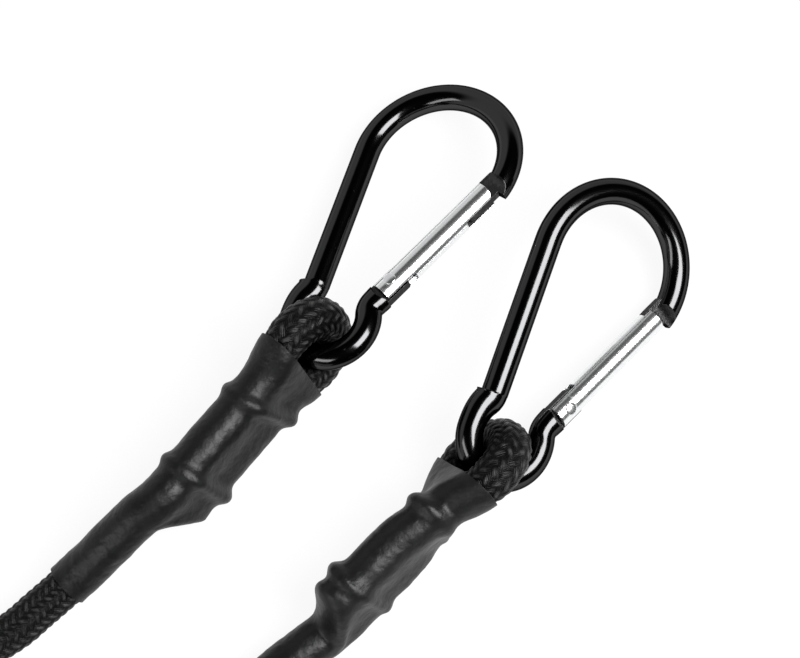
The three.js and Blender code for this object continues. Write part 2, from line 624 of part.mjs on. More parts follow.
// Assembly, standing on z = 0 with the middle of the hooks and sleeves over the origin
const ends = new THREE.Group();
const lays = {};
for (const side of Object.keys(HOOKS)) {
  const hook = makeHook(side);
  lays[side] = layEnd(eyeMatrix(side, hook), CORDS[side]);
  ends.add(hook, makeEye(side, lays[side]));
}
const footprint = new THREE.Box3().setFromObject(ends, true);
const middle = footprint.getCenter(point(0, 0, 0));

const bungee = new THREE.Group();
bungee.add(ends, ...freeCord(foldRoute(lays.left, lays.right)));
bungee.position.set(-middle.x, -middle.y, -footprint.min.z);
bungee.updateMatrixWorld(true);

export default bungee;
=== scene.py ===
"""Looks of a bungee cord: two gated snap hooks on braided eyes, their shrunk sleeves and the folded cord."""
import json
import math

import bmesh
import bpy
from mathutils import Matrix, Vector, noise
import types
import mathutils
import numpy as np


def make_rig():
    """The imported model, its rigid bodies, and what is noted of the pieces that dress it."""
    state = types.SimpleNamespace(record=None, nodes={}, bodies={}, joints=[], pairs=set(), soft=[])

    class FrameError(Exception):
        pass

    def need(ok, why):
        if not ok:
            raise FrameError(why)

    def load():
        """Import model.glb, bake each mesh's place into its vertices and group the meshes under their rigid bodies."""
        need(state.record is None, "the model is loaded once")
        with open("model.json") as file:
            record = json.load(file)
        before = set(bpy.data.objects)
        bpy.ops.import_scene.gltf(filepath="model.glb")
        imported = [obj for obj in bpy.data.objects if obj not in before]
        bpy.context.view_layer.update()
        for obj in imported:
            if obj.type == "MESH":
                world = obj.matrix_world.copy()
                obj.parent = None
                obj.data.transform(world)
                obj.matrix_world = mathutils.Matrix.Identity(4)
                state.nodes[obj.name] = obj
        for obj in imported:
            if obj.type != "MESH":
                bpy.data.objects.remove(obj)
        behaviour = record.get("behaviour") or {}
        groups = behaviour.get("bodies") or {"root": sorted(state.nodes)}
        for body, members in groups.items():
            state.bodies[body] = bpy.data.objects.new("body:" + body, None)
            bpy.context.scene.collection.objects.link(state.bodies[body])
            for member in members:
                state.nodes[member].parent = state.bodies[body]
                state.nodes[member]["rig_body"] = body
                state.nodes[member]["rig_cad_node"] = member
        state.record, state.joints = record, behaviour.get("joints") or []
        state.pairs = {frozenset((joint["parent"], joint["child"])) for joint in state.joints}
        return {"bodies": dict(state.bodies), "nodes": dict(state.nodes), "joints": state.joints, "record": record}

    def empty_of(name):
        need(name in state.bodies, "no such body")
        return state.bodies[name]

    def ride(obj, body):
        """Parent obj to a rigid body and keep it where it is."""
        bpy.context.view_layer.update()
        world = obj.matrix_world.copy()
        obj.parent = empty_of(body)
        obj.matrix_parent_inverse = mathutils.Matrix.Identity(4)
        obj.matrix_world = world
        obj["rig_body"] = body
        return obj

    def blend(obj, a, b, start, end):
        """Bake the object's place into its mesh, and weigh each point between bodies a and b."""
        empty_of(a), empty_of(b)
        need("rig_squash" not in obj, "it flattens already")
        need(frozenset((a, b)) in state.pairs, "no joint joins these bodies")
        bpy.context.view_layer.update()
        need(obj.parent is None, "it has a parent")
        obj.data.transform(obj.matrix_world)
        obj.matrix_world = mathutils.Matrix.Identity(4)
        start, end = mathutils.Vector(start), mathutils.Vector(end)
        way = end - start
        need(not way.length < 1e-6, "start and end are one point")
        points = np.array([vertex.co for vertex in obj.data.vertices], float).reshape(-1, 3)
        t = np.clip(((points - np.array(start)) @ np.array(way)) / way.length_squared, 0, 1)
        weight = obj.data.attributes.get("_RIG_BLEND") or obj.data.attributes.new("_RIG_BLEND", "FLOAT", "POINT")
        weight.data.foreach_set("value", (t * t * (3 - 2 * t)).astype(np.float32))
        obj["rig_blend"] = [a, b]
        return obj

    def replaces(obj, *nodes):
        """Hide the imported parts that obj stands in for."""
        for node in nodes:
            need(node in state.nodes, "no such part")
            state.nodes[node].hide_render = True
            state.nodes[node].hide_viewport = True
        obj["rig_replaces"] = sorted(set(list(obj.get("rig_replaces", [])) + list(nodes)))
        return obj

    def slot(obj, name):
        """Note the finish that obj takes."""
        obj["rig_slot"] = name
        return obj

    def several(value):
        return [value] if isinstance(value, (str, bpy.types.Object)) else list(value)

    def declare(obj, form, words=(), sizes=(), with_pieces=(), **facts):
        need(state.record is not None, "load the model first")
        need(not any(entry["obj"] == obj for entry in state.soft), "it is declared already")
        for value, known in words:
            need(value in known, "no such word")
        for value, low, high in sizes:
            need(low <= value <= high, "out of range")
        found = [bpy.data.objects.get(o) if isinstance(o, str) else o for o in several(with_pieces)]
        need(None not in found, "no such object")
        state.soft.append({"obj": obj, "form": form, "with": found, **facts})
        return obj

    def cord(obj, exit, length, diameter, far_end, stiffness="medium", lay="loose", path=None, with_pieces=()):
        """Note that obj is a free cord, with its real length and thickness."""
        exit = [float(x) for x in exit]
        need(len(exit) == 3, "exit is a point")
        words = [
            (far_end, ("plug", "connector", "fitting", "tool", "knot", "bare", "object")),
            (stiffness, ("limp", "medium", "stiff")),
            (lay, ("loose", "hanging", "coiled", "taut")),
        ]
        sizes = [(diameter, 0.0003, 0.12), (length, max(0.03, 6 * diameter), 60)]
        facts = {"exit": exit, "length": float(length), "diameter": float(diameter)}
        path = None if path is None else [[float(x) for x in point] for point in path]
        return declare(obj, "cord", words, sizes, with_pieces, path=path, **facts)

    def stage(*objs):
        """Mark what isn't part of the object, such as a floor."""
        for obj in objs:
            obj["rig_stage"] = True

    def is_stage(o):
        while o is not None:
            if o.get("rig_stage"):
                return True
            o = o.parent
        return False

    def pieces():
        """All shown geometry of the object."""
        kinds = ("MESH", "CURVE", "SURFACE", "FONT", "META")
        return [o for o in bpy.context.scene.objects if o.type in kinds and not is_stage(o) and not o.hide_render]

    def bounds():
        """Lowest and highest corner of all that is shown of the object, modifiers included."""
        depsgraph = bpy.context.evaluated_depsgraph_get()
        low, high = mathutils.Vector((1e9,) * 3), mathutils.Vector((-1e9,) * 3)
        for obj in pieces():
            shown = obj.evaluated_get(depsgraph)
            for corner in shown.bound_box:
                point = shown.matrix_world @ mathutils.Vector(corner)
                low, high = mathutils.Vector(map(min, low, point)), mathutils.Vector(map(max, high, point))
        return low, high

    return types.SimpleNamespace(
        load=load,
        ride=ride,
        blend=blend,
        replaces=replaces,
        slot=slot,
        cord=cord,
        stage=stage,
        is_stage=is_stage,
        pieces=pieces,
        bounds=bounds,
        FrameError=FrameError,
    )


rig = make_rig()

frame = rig.load()
cad_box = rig.bounds()

# Metres in a millimetre
MM = 0.001

# Sizes in millimetres and angles in degrees, as the solids have them
GAP = 0.3
ROD_R = 3.1
LOOP_R = 17.9
LOOP_RISE = 46.4
SPINE_LEAN = 13.8
EYE_R = 9.3
EYE_SHIFT = 0.4
NECK_BEND_R = 3.9
NOSE_ANGLE = -6.0
HINGE_FLARE = 0.6
STOP_STEP = 1.3
STOP_FADE = 9.0
TONGUE_T = 2.0
NOSE_TONGUE = (-1.4, 2.4, 7.8)
NOSE_LIP_IN = 2.9
NOSE_LIP_RISE = 4.5
NOSE_SCOOP_R = 3.0
HINGE_TONGUE_W = 6.0
HINGE_TONGUE_END = 3.0
GATE_R = 3.0
GATE_TAIL = 3.3
GATE_NOSE = 30.7
GATE_LEAN = 14.6
PIVOT = (8.53, 14.0)
GATE_BORE_R = 2.0
GATE_BORE_DEPTH = 22.0
HINGE_SLOTS = (8.6, 8.0)
NOSE_SLOTS = (9.0, 2.0)
GATE_NOSE_ROUND = 2.0
RIVET_R = 1.0
RIVET_HEAD_R = 1.5
RIVET_PROUD = 0.25
SPRING_WIRE_R = 0.25
SPRING_R = GATE_BORE_R - GAP - SPRING_WIRE_R
SPRING_COILS = 7
PLUNGER_HEAD = 2.0
HINGE_RELIEF_R = math.hypot(GATE_TAIL, GATE_R) + GAP
CORD_R = 4.6
EYE_SWELL = 0.4
EYE_PLAY = 0.35
BIGHT_R = ROD_R + CORD_R + EYE_SWELL + EYE_PLAY
STRAND_GAP = 0.5
STRAND_OFFSET = CORD_R + STRAND_GAP / 2
EYE_CLOSE = 13.0
CLAMPS_AT = (15.7, 37.5)
CLAMP_REACH = 3.0
CLAMP_PINCH = 0.8
CLAMP_WIRE_R = 0.65
CLAMP_OPEN = 2.0
TAIL_END = 43.0
SLEEVE_START = 4.0
SLEEVE_END = 74.0
SLEEVE_WALL = 0.45
SLEEVE_CLEAR = 0.25
SLEEVE_BORE_R = CORD_R + SLEEVE_CLEAR
SLEEVE_SIDES = 16
CORD_JOIN_AT = 70.0
LEAD_OUT = 16.0
SINGLE_HEIGHT = (SLEEVE_BORE_R + SLEEVE_WALL) * math.cos(math.pi / SLEEVE_SIDES)

# Where the hooks and the cord lie. Settle is a further turn of the two strands inside the sleeve, and back
# the length in which the cord is on its line again. The leans are those of the two clamps, from square across
# the cord. Knob is the side, in a section, on which the sleeve swells most, and bump the swelling there past
# the tail's end
SHIFT = Vector((5.249685, 12.704378, 0.0))
HOOKS = {
    "left": {"eye": (-15.7, 1.9, 13.2), "yaw": -30.3, "roll": -21.3, "slope": -2.7},
    "right": {"eye": (24.0, -25.2, 12.1), "yaw": -30.6, "roll": 32.3, "slope": 2.0},
}
CORDS = {
    "left": {
        "heading": 230.5, "fall": -1.0, "twist": 0.0, "turn": -10.1, "strand": 1, "lands": 80.0,
        "settle": 0.0, "back": 10.0, "leans": (18.0, 10.0), "knob": -32.0, "bump": 0.25,
    },
    "right": {
        "heading": 225.6, "fall": -3.2, "twist": -10.0, "turn": 0.9, "strand": -1, "lands": 52.0,
        "settle": -38.0, "back": 26.0, "leans": (-2.0, 10.0), "knob": 151.0, "bump": 1.0,
    },
}
FOLD_ROUTE = (
    (-104, -77), (-123, -83), (-139, -93), (-148, -111), (-148, -134), (-138, -152),
    (-120, -162), (-98, -163), (-78, -155), (-66, -137), (-60, -117),
)

# Rod: points along its spine, rings close above the pressed step, where the flare at the hinge begins before
# the shoulder, how far the rod goes into the hinge's relief, and the points from the shoulder to there
SPINE_STEPS = 20
STOP_RINGS = (0.5, 0.3)
FLARE_LEAD = 3.0
HINGE_OVERLAP = 0.8
HINGE_STEPS = 4

# Cutting: how far apart faces are kept that would otherwise lie in one plane, the size of what is swept away,
# how far a tool reaches past what it cuts, the rounding of a tongue's corners, how deep a rivet's heads sink
# in its pin, and the angles from which edges are sharp, in general and on the gate
APART = 0.02
SLIVER = 0.0005
PAST = 9.0
TONGUE_ROUND = 0.8
RIVET_SUNK = 0.1
SHARP = 40.0
GATE_SHARP = 30.0

# Wire: its sides, points in a turn of the spring and in a half turn of a clamp, and the clamp's fit on the
# cord, which is closer than that of the solids
WIRE_SIDES = 12
COIL_STEPS = 32
CLAMP_STEPS = 24
CLAMP_CLEAR = 0.05
CLAMP_R = CORD_R - CLAMP_PINCH + CLAMP_CLEAR + CLAMP_WIRE_R

# Braid: yarn bundles each way round the cord, how many a bundle goes over, filaments in the shading of one,
# length of a stitch, its relief, the height that lies at the cord's radius, and the bends of a stitch's arch
# and crown with what is left of its height at its sides
BUNDLES = 14
OVER = 2
FILAMENTS = 4
STITCH = 2.0
BRAID_RELIEF = 0.34
BRAID_LEVEL = 0.8
ARCH_BEND = 0.7
CROWN_BEND = 2.6
CROWN_SIDES = (0.25, 0.4)

# Fineness of the braids: sides, length between rings of an eye, rings of the free cord, points between two of
# its marks, and how many of its rings a point of its reported path stands for. Then the place of its second
# mark, past the join
EYE_SIDES = 100
EYE_RING = 0.25
FREE_SIDES = 96
FREE_RINGS = 850
SPLINE_STEPS = 40
PATH_EVERY = 5
JOIN_LEAD = 2.0

# Sleeve: where the strands settle under it, where it has closed on the single cord, its outside on the cord,
# its sides and the length between its rings
SETTLES = (5.0, 28.0)
SLEEVE_SINGLE = 51.5
SKIN_CLEAR = 0.12
SKIN_R = CORD_R + SKIN_CLEAR + SLEEVE_WALL
SKIN_SIDES = 96
SKIN_RING = 0.4

# Its swelling over a clamp: rise, what is added on the line through the knob and on the knob's side, spread,
# what the knob adds to that, and steepness. Then the hollow beside it: depth, place and width
RIDGE_RISE = 0.55
LINE_RISE = 0.75
KNOB_RISE = 0.45
RIDGE_WIDTH = 1.5
KNOB_WIDTH = 0.45
RIDGE_STEEP = 2.4
HOLLOW = 0.12
HOLLOW_AT = 3.6
HOLLOW_WIDTH = 1.6

# The bump past the tail's end: place and width. Webs between the strands: how far they fall in, and the
# spread from which they do so fully. Lumps: height and size of large and small ones, a shift of the large
# ones' pattern, and the length from the mouth in which they begin
BUMP_AT = 1.0
BUMP_WIDTH = 2.4
WEB_SAG = 0.3
WEB_SPREAD = 6.0
LARGE_LUMP = (0.13, 4.5)
SMALL_LUMP = (0.08, 1.6)
LUMP_SHIFT = (7.0, 3.0, 1.0)
MOUTH = 3.0

# Camera: what it looks at in millimetres, its height in degrees, its distance and clipping in metres
TARGET = (5.250, 12.704, 13.7)
CAMERA_HEIGHT = 74.0
CAMERA_AWAY = 0.48
CAMERA_CLIP = (0.01, 20.0)
LENS = 95.04
SENSOR = 36.0

# Lamps and room: the point the lamps look at and their distance, in metres; half the floor's side and its
# depth below the cord, in millimetres, and its own light where it is seen; the pale wall's lean and its greys
# by height, and the light of the room on matt surfaces
LIT_POINT = (0.03, 0.03, 0.01)
LAMP_AWAY = 0.9
FLOOR_HALF = 3000.0
FLOOR_BELOW = 0.02
FLOOR_GLOW = 0.92
WALL_LEAN = 0.35
WALL_GREYS = ((0.0, 0.62), (0.6, 0.62), (0.68, 0.008))
ROOM_GREY = (0.15, 0.15, 0.15)
WHITE = (1.0, 1.0, 1.0)


def blend(low, high, share):
    return low + (high - low) * share


def ease(value, start, end):
    t = min(max((value - start) / (end - start), 0.0), 1.0)
    return t * t * (3 - 2 * t)


class Term:
    """A value in a finish. Sums and products of terms add Math nodes."""

    def __init__(self, finish, socket):
        self.finish = finish
        self.socket = socket

    def maths(self, operation, *terms):
        node = self.finish.node("Math", {"operation": operation}, dict(enumerate(terms)))
        return Term(self.finish, node.outputs[0])

    def __add__(self, other):
        return self.maths("ADD", self, other)

    def __sub__(self, other):
        return self.maths("SUBTRACT", self, other)

    def __rsub__(self, other):
        return self.maths("SUBTRACT", other, self)

    def __mul__(self, other):
        return self.maths("MULTIPLY", self, other)

    __radd__ = __add__
    __rmul__ = __mul__

    def sine(self):
        return self.maths("SINE", self)

    def most(self, other):
        return self.maths("MAXIMUM", self, other)

    def clamped(self, low, high):
        settings = {"clamp": True}
        values = {"Value": self, "From Min": low, "From Max": high}
        return Term(self.finish, self.finish.node("MapRange", settings, values).outputs[0])


class Nodes:
    """A tree of nodes and ways to add to it."""

    def __init__(self, tree):
        self.tree = tree
        tree.nodes.clear()

    def node(self, kind, settings=None, sockets=None):
        made = self.tree.nodes.new("ShaderNode" + kind)
        for key, value in (settings or {}).items():
            if key == "stops":
                ramp = made.color_ramp.elements
                while len(ramp) < len(value):
                    ramp.new(0.5)
                for stop, (at, grey) in zip(ramp, value):
                    stop.position = at
                    stop.color = (grey, grey, grey, 1.0)
            else:
                setattr(made, key, value)
        for key, value in (sockets or {}).items():
            self.join(made, key, value)
        return made

    def join(self, node, key, value):
        socket = node.inputs[key]
        if isinstance(value, Term):
            value = value.socket
        if isinstance(value, bpy.types.NodeSocket):
            self.tree.links.new(value, socket)
        elif socket.type == "RGBA" and len(value) == 3:
            socket.default_value = (*value, 1.0)
        else:
            socket.default_value = value

    def mixed(self, share, first, second):
        node = self.node("Mix", {"data_type": "RGBA"}, {0: share, 6: first, 7: second})
        return node.outputs[2]


class Finish(Nodes):
    """A material made of nodes round one Principled shader."""

    def __init__(self, name, **sockets):
        self.material = bpy.data.materials.new(name)
        self.material.use_nodes = True
        super().__init__(self.material.node_tree)
        self.shader = self.node("BsdfPrincipled", {}, sockets)
        self.out = self.node("OutputMaterial", {}, {"Surface": self.shader.outputs[0]})

    def set(self, **sockets):
        for key, value in sockets.items():
            self.join(self.shader, key.replace("_", " "), value)

    def place(self, stretch=(1, 1, 1), turn=(0, 0, 0)):
        where = self.node("TexCoord").outputs["Object"]
        mapping = self.node("Mapping", {}, {"Vector": where, "Scale": stretch, "Rotation": turn})
        return mapping.outputs[0]

    def course(self):
        """Turns round a swept piece and length along it, from its own map."""
        where = self.node("UVMap", {"uv_map": "course"}).outputs[0]
        parts = self.node("SeparateXYZ", {}, {0: where})
        return Term(self, parts.outputs[0]), Term(self, parts.outputs[1])

    def marked(self, name):
        return Term(self, self.node("Attribute", {"attribute_name": name}).outputs["Fac"])

    def noise(self, vector, scale, detail=3.0, rough=0.5):
        sockets = {"Vector": vector, "Scale": scale, "Detail": detail, "Roughness": rough}
        return Term(self, self.node("TexNoise", {}, sockets).outputs[0])

    def relief(self, height, depth, rounding=0.0):
        """Bumps of a depth, on edges shaded as if rounded; both in millimetres."""
        sockets = {"Height": height, "Strength": 1.0, "Distance": depth * MM}
        if rounding:
            soft = self.node("Bevel", {"samples": 6}, {"Radius": rounding * MM})
            sockets["Normal"] = soft.outputs[0]
        self.set(Normal=self.node("Bump", {}, sockets).outputs[0])


def gloss_black():
    """Black gloss on bent rod: deep, with faint waviness and a few rubbed specks."""
    paint = Finish("hook_gloss_black", Metallic=1.0)
    where = paint.place()
    wave = paint.noise(where, scale=90.0, detail=2.0)
    rub = paint.noise(where, scale=900.0, detail=4.0, rough=0.7).clamped(0.66, 0.78)
    paint.set(
        Base_Color=paint.mixed(rub * 0.4, (0.052, 0.052, 0.053), (0.09, 0.09, 0.092)),
        Specular_Tint=(0.32, 0.32, 0.32),
        Roughness=0.11 + wave * 0.05 + rub * 0.2,
    )
    paint.relief(wave, depth=0.02, rounding=0.22)
    return paint.material


def milled_black():
    """Black on the milled ends of the rod, with the cutter's fine ridges."""
    paint = Finish("hook_milled_black", Metallic=1.0)
    ridges = paint.place(stretch=(2600, 260, 2600), turn=(0.3, 0.2, 0.8))
    grain = paint.noise(ridges, scale=1.0, rough=0.6)
    worn = paint.noise(paint.place(), scale=700.0).clamped(0.55, 0.75)
    paint.set(
        Base_Color=paint.mixed(worn * 0.6, (0.05, 0.05, 0.051), (0.12, 0.12, 0.123)),
        Specular_Tint=(0.5, 0.5, 0.5),
        Roughness=0.24 + grain * 0.2,
    )
    paint.relief(grain, depth=0.06, rounding=0.18)
    return paint.material


def bright_gate():
    """Drawn aluminium: streaks along the bar, small dents and scuffs."""
    metal = Finish("gate_bright_aluminium", Metallic=0.95)
    along = metal.marked("along")
    about = metal.marked("round")
    drawn = metal.node("CombineXYZ", {}, {0: about * 30.0, 1: along * 0.55}).outputs[0]
    streak = metal.noise(drawn, scale=1.0, detail=5.0, rough=0.65)
    where = metal.place()
    scuff = metal.noise(where, scale=620.0, detail=5.0, rough=0.72).clamped(0.6, 0.74)
    dent = metal.noise(where, scale=230.0, detail=2.0)
    metal.set(
        Base_Color=metal.mixed(streak, (0.8, 0.81, 0.82), (0.97, 0.975, 0.98)),
        Roughness=0.16 + streak * 0.12 + scuff * 0.15,
    )
    metal.relief(streak * 0.12 + scuff * 0.2 + dent, depth=0.02, rounding=0.16)
    return metal.material


def plain_steel(name, tint, rough):
    """Steel wire with a fine grain, a quarter darker in its hollows."""
    metal = Finish(name, Metallic=1.0)
    grain = metal.noise(metal.place(), scale=1500.0, detail=4.0, rough=0.6)
    metal.set(
        Base_Color=metal.mixed(grain, [part * 0.75 for part in tint], tint),
        Roughness=rough + grain * 0.15,
    )
    metal.relief(grain, depth=0.02)
    return metal.material


def black_braid():
    """Polyester braid: painted shade that darkens the hollows between the bundles, painted glints on the stitch
    crowns, filaments along each bundle and a soft shine.
    """
    cloth = Finish("cord_black_braid")
    turns, length = cloth.course()
    crown = cloth.marked("crown")
    lie = cloth.marked("lie")
    about = turns * float(BUNDLES)
    along = length * (1 / (STITCH * MM))
    ripple = 2 * math.pi * FILAMENTS
    first = (about + along) * ripple
    second = (about - along) * ripple
    fibre = first.sine() * lie + second.sine() * (1 - lie)
    fuzz = cloth.noise(cloth.place(), scale=1900.0, rough=0.7)
    shade = cloth.noise(cloth.place(), scale=420.0, detail=2.0).clamped(0.35, 0.65)
    # Painted light: the stitch crowns and random flecks are painted paler as glints, and the hollows between the
    # bundles stay near black as painted shade
    painted_light = (crown * 0.7 + fuzz * 0.5).clamped(0.66, 1.0)
    cloth.set(
        Base_Color=cloth.mixed(painted_light * shade, (0.0004, 0.0004, 0.0004), (0.06, 0.06, 0.059)),
        Roughness=0.4 - crown * 0.14 + fuzz * 0.1,
        Specular_IOR_Level=0.15,
    )
    cloth.relief(fibre * 0.6 + fuzz, depth=0.06)
    return cloth.material


def shrunk_plastic():
    """Satin shrink tube: cloudy sheen, small wrinkles, faint pores and scuffs."""
    tube = Finish("sleeve_satin_shrink")
    where = tube.place()
    cloud = tube.noise(where, scale=170.0, rough=0.55)
    wrinkle = tube.noise(where, scale=520.0, detail=2.0)
    pore = tube.noise(where, scale=1500.0, rough=0.6)
    scuff = tube.noise(where, scale=480.0, detail=5.0, rough=0.75).clamped(0.62, 0.8)
    pale = cloud * 0.6 + scuff * 0.3
    tube.set(
        Base_Color=tube.mixed(pale, (0.0022, 0.0023, 0.0023), (0.008, 0.0084, 0.0082)),
        Roughness=0.3 + cloud * 0.22 + pore * 0.06 + scuff * 0.12,
        Specular_IOR_Level=0.32,
    )
    tube.relief(cloud * 0.6 + wrinkle + pore * 0.15 + scuff * 0.15, depth=0.18, rounding=0.12)
    return tube.material


def rim_painted_highlight():
    """The cut rim of the shrink tube, paler than its skin: a painted highlight for the light that the cut face
    catches.
    """
    rim = Finish("sleeve_cut_rim")
    grain = rim.noise(rim.place(), scale=1500.0)
    rim.set(
        # Painted highlight: the rim's colour is made paler to show the light caught by the cut face
        Base_Color=rim.mixed(grain, (0.05, 0.051, 0.051), (0.09, 0.091, 0.09)),
        Roughness=0.5 + grain * 0.2,
    )
    return rim.material


def frames_along(points, reference):
    """A frame at each point of a path: X as near to the reference as it can be, Y to the side and Z along."""
    places = []
    for i, here in enumerate(points):
        along = (points[min(i + 1, len(points) - 1)] - points[max(i - 1, 0)]).normalized()
        across = (reference - along * reference.dot(along)).normalized()
        place = Matrix((across, along.cross(across), along)).transposed().to_4x4()
        place.translation = here
        places.append(place)
    return places


def lengths_along(points):
    lengths = [0.0]
    for before, after in zip(points, points[1:]):
        lengths.append(lengths[-1] + (after - before).length)
    return lengths


def swept(places, sides, corner):
    """A ring extruded from each frame to the next; corner gives a point of a ring in its frame."""
    bm = bmesh.new()
    turn = bm.verts.layers.int.new("turn")
    step = bm.verts.layers.int.new("step")
    ring = bmesh.ops.create_circle(bm, segments=sides, radius=1.0)["verts"]
    for k, vert in enumerate(ring):
        vert[turn] = k
    edges = bm.edges[:]
    for i, place in enumerate(places):
        if i:
            made = bmesh.ops.extrude_edge_only(bm, edges=edges)["geom"]
            ring = [piece for piece in made if isinstance(piece, bmesh.types.BMVert)]
            fresh = set(ring)
            edges = [e for e in made if isinstance(e, bmesh.types.BMEdge) and set(e.verts) <= fresh]
        for vert in ring:
            vert[step] = i
            vert.co = place @ corner(i, vert[turn])
    return bm


def mapped(bm, sides, lengths):
    """Map of a swept piece: turns round it, and metres along it."""
    turn = bm.verts.layers.int["turn"]
    step = bm.verts.layers.int["step"]
    course = bm.loops.layers.uv.new("course")
    for face in bm.faces:
        turns = [loop.vert[turn] for loop in face.loops]
        seam = max(turns) - min(turns) > sides / 2
        for loop, k in zip(face.loops, turns):
            past = sides if seam and k < sides / 2 else 0
            loop[course].uv = ((k + past) / sides, lengths[loop.vert[step]] * MM)


def closed(bm):
    rims = [edge for edge in bm.edges if edge.is_boundary]
    bmesh.ops.holes_fill(bm, edges=rims, sides=0)
    bmesh.ops.recalc_face_normals(bm, faces=bm.faces[:])
    return bm


def wire(points, radius, reference):
    """A round wire along a path."""

    def corner(_, k):
        turn = 2 * math.pi * k / WIRE_SIDES
        return Vector((math.cos(turn), math.sin(turn), 0.0)) * radius

    return closed(swept(frames_along(points, reference), WIRE_SIDES, corner))


def piece_of(bm, name, place, materials, sharp=SHARP):
    """Puts a shape in its place, in metres, as an object at the origin."""
    bmesh.ops.transform(bm, matrix=Matrix.Scale(MM, 4) @ place, verts=bm.verts[:])
    mesh = bpy.data.meshes.new(name)
    bm.to_mesh(mesh)
    bm.free()
    piece = bpy.data.objects.new(name, mesh)
    bpy.context.scene.collection.objects.link(piece)
    for material in materials:
        mesh.materials.append(material)
    mesh.shade_smooth()
    mesh.set_sharp_from_angle(angle=math.radians(sharp))
    return piece


def dressed(piece, body, slot, *nodes):
    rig.ride(piece, body)
    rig.slot(piece, slot)
    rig.replaces(piece, *nodes)
    return piece


def shaped(piece, operation, tools, sharp=SHARP):
    """Cuts a piece with tools, or joins them to it; the tools go afterwards."""
    for tool in tools:
        change = piece.modifiers.new("shape", "BOOLEAN")
        change.operation = operation
        change.solver = "EXACT"
        change.object = tool
        bpy.context.view_layer.update()
        held = piece.evaluated_get(bpy.context.evaluated_depsgraph_get())
        mesh = bpy.data.meshes.new_from_object(held)
        piece.modifiers.clear()
        piece.data = mesh
        bpy.data.objects.remove(tool)
        bm = bmesh.new()
        bm.from_mesh(mesh)
        bmesh.ops.remove_doubles(bm, verts=bm.verts[:], dist=SLIVER * MM)
        bmesh.ops.dissolve_degenerate(bm, edges=bm.edges[:], dist=SLIVER * MM)
        bm.to_mesh(mesh)
        bm.free()
    piece.data.shade_smooth()
    piece.data.set_sharp_from_angle(angle=math.radians(sharp))


def hook_place(side):
    hook = HOOKS[side]
    turn = Matrix.Rotation(math.radians(hook["yaw"]), 4, "Z")
    turn = turn @ Matrix.Rotation(math.radians(hook["roll"]), 4, "Y")
    turn = turn @ Matrix.Rotation(math.radians(hook["slope"]), 4, "X")
    return Matrix.Translation(Vector(hook["eye"]) + SHIFT) @ turn


def gate_place(side):
    turn = Matrix.Rotation(-math.radians(GATE_LEAN), 4, "Z")
    return hook_place(side) @ Matrix.Translation((*PIVOT, 0.0)) @ turn


def arc(centre, radius, start, end, step):
    """Points of an arc, about a step of degrees apart."""
    count = max(3, round(abs(end - start) / step))
    angles = [math.radians(blend(start, end, i / count)) for i in range(count + 1)]
    return [centre + Vector((radius * math.cos(a), radius * math.sin(a), 0.0)) for a in angles]


def bearing(point, centre):
    return math.degrees(math.atan2(point.y - centre.y, point.x - centre.x))


def neck_bend(start, along, outward, eye):
    """Small bend that joins a straight leg of the rod to the eye's circle, and the point where they meet."""
    reach = EYE_R + NECK_BEND_R
    offset = start + outward * NECK_BEND_R - eye
    middle = -offset.dot(along)
    travel = middle - math.sqrt(reach**2 - offset.length_squared + middle**2)
    leg = start + along * travel
    centre = leg + outward * NECK_BEND_R
    meeting = eye.lerp(centre, EYE_R / reach)
    first = bearing(leg, centre)
    last = bearing(meeting, centre)
    sweep = (last - first + 180.0) % 360.0 - 180.0
    return arc(centre, NECK_BEND_R, first, first + sweep, step=6.0), meeting


def rod_path():
    """Middle of the bent rod in the hook's plane, and which of its points the step and the shoulder are."""
    loop = Vector((0.0, LOOP_RISE, 0.0))
    eye = Vector((-EYE_SHIFT, 0.0, 0.0))
    lean = math.radians(SPINE_LEAN)
    out = Vector((-math.cos(lean), -math.sin(lean), 0))
    down = Vector((math.sin(lean), -math.cos(lean), 0))
    kink, on_eye = neck_bend(loop + out * LOOP_R, down, out, eye)
    tilt = math.radians(GATE_LEAN)
    gate_out = Vector((math.cos(tilt), -math.sin(tilt), 0))
    gate_up = Vector((math.sin(tilt), math.cos(tilt), 0))
    pivot = Vector((*PIVOT, 0.0))
    hinge, off_eye = neck_bend(pivot, -gate_up, gate_out, eye)
    wide = arc(loop, LOOP_R, NOSE_ANGLE, 180.0 + SPINE_LEAN, step=2.5)
    spine = [wide[-1].lerp(kink[0], i / SPINE_STEPS) for i in range(1, SPINE_STEPS)]
    above = [kink[0] - down * rise for rise in STOP_RINGS]
    small = arc(eye, EYE_R, bearing(on_eye, eye), 360.0 + bearing(off_eye, eye), step=4.0)[1:-1]
    end = pivot - gate_up * (HINGE_RELIEF_R - HINGE_OVERLAP)
    last = [hinge[0].lerp(end, i / HINGE_STEPS) for i in range(1, HINGE_STEPS + 1)]
    points = [*wide, *spine, *above, *kink, *small, *hinge[::-1], *last]
    return points, len(wide) + len(spine) + len(above), len(points) - HINGE_STEPS - 1


def bent_rod():
    """The bent rod, with the pressed step below the spine and the flared shoulder at the hinge."""
    points, stop, shoulder = rod_path()
    lengths = lengths_along(points)
    sides = 48

    def corner(i, k):
        turn = 2 * math.pi * k / sides
        past = lengths[i] - lengths[stop]
        step = 0.0 if i < stop else STOP_STEP * (1 - ease(past, 0.0, STOP_FADE))
        flare = HINGE_FLARE * ease(lengths[i], lengths[shoulder] - FLARE_LEAD, lengths[-1])
        wide = ROD_R + (flare + step) / 2
        return Vector((ROD_R * math.cos(turn), step / 2 + wide * math.sin(turn), 0.0))

    return closed(swept(frames_along(points, Vector((0, 0, 1))), sides, corner))


